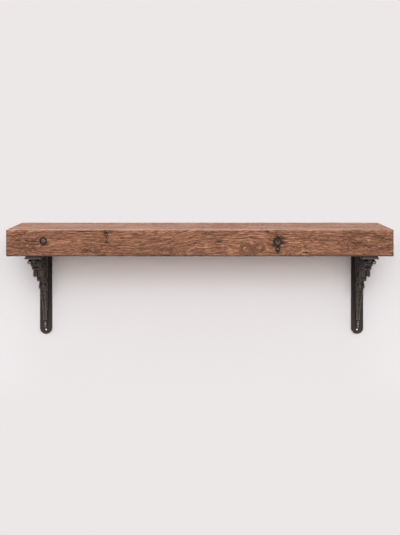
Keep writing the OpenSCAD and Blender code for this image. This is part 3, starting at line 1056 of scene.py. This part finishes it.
screw = {
    "headHigh": 0.003,
    "headBevel": 0.00015,
    "headLap": 0.0004,  # how far the shank reaches into the head
    "slotLong": 3.0,  # in half heads, so that the saw comes out on both sides
    "slotWide": 0.001,
    "slotDeep": 0.0012,
    "shankWide": 0.0042,
    "pointLong": 0.0084,
    "pointShare": 0.15,  # the point's width, as a share of the shank's
    "threadPitch": 0.0022,
    "threadTurns": 10,
    "threadHalf": 0.0005,
    "ballSteps": 32,  # corners round the head, the shank and the thread
    "shankSteps": 24,
    "threadSteps": 20,
    "smoothAngle": 35.0,
    "mottle": {"Scale": 0.8, "Detail": 3.0},
    "plainHex": "#2B2827",
    "mottleHex": "#3D3937",
    "bareHex": "#8F8A85",
    "bareEdges": (0.54, 0.62),  # how sharp the edges are that lose their black
    "rough": (0.3, 0.7, 0.36, 0.52),
}


def addHead(low, high, values):
    # The lowest part of a ball, with a slot sawn across it
    middle = (low + high) / 2
    half = (high.x - low.x) / 2
    seat = low.z + values["headHigh"]
    ball = (half ** 2 + values["headHigh"] ** 2) / 2 / values["headHigh"]
    steps = values["ballSteps"]
    bpy.ops.mesh.primitive_uv_sphere_add(segments=steps, ring_count=steps, radius=ball,
                                         location=(middle.x, middle.y, low.z + ball))
    head = added("screwHead")
    onWhole(bpy.ops.mesh.bisect, plane_co=(middle.x, middle.y, seat), plane_no=(0, 0, 1), use_fill=True,
            clear_outer=True)
    cut = (values["slotLong"] * half, values["slotWide"], 2 * values["slotDeep"])
    bpy.ops.mesh.primitive_cube_add(size=1, location=(middle.x, middle.y, low.z), scale=cut)
    slot = added("screwSlot")
    finishWith(head, "BOOLEAN", operation="DIFFERENCE", solver="EXACT", object=slot)
    bpy.data.objects.remove(slot)
    finishWith(head, "BEVEL", width=values["headBevel"], segments=2, limit_method="ANGLE")
    return head


def addShank(low, high, values):
    # A rod from the head, which tapers to its point at the top
    middle = (low + high) / 2
    start = low.z + values["headHigh"] - values["headLap"]
    tip = high.z - values["pointLong"]
    bpy.ops.mesh.primitive_cylinder_add(vertices=values["shankSteps"], radius=values["shankWide"] / 2,
                                        depth=tip - start, location=(middle.x, middle.y, (start + tip) / 2))
    shank = added("screwShank")
    bpy.ops.object.mode_set(mode="EDIT")
    pick(shank, "FACE", lambda face: face.normal.z > 0.9)
    bpy.ops.mesh.extrude_region_move(TRANSFORM_OT_translate={"value": (0, 0, values["pointLong"])})
    bpy.ops.transform.resize(value=(values["pointShare"], values["pointShare"], 1),
                             center_override=(middle.x, middle.y, high.z))
    bpy.ops.object.mode_set(mode="OBJECT")
    return shank


def addThread(low, high, values):
    # A three-sided ridge wound round the shank, up to where the point starts
    middle = (low + high) / 2
    bpy.ops.mesh.primitive_circle_add(vertices=3, radius=values["threadHalf"], fill_type="NOTHING",
                                      location=(values["shankWide"] / 2, 0, 0), rotation=(math.pi / 2, 0, 0))
    thread = added("screwThread")
    steps = values["threadSteps"]
    finishWith(thread, "SCREW", axis="Z", steps=steps, render_steps=steps, iterations=values["threadTurns"],
               screw_offset=values["threadPitch"])
    start = high.z - values["pointLong"] - values["threadPitch"] * values["threadTurns"]
    thread.location = (middle.x, middle.y, start)
    return thread


def buildScrews(values):
    low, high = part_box("left_front_screw")
    parts = [make(low, high, values) for make in (addHead, addShank, addThread)]
    piece = joined(parts, "leftFrontScrew")
    onWhole(bpy.ops.mesh.normals_make_consistent, inside=False)
    bpy.ops.object.shade_smooth_by_angle(angle=math.radians(values["smoothAngle"]))
    piece.data.materials.clear()
    piece.data.materials.append(paintScrew(values))
    pieces = {"left_front_screw": piece}
    for name in ("left_rear_screw", "right_front_screw", "right_rear_screw"):
        workOn(piece)
        bpy.ops.object.duplicate()
        bpy.context.active_object.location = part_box(name)[0] - low
        first, *words = name.split("_")
        pieces[name] = added(first + "".join(word.capitalize() for word in words))
    for name, made in pieces.items():
        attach(made, "root")
        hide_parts(name)
    print("screws modelled:", len(piece.data.polygons), "faces each")


def paintScrew(values):
    # Steel, cold headed and black oxided: a soft dark sheen, bare where the driver has slipped on the slot
    material, add = newMaterial("blackOxideSteel")
    place = add("VectorMath", add("TexCoord").outputs["Object"], operation="SCALE", Scale=1000.0)
    mottle = add("TexNoise", place, **values["mottle"])
    bare = add("MapRange", add("NewGeometry").outputs["Pointiness"], *values["bareEdges"], **soft)
    colour = overlay(add, fromHex(values["plainHex"]), [("mottleHex", mottle), ("bareHex", bare)], values)
    rough = add("MapRange", mottle, *values["rough"])
    add("OutputMaterial", add("BsdfPrincipled", colour, Metallic=1.0, Roughness=rough))
    return material


buildScrews(screw)
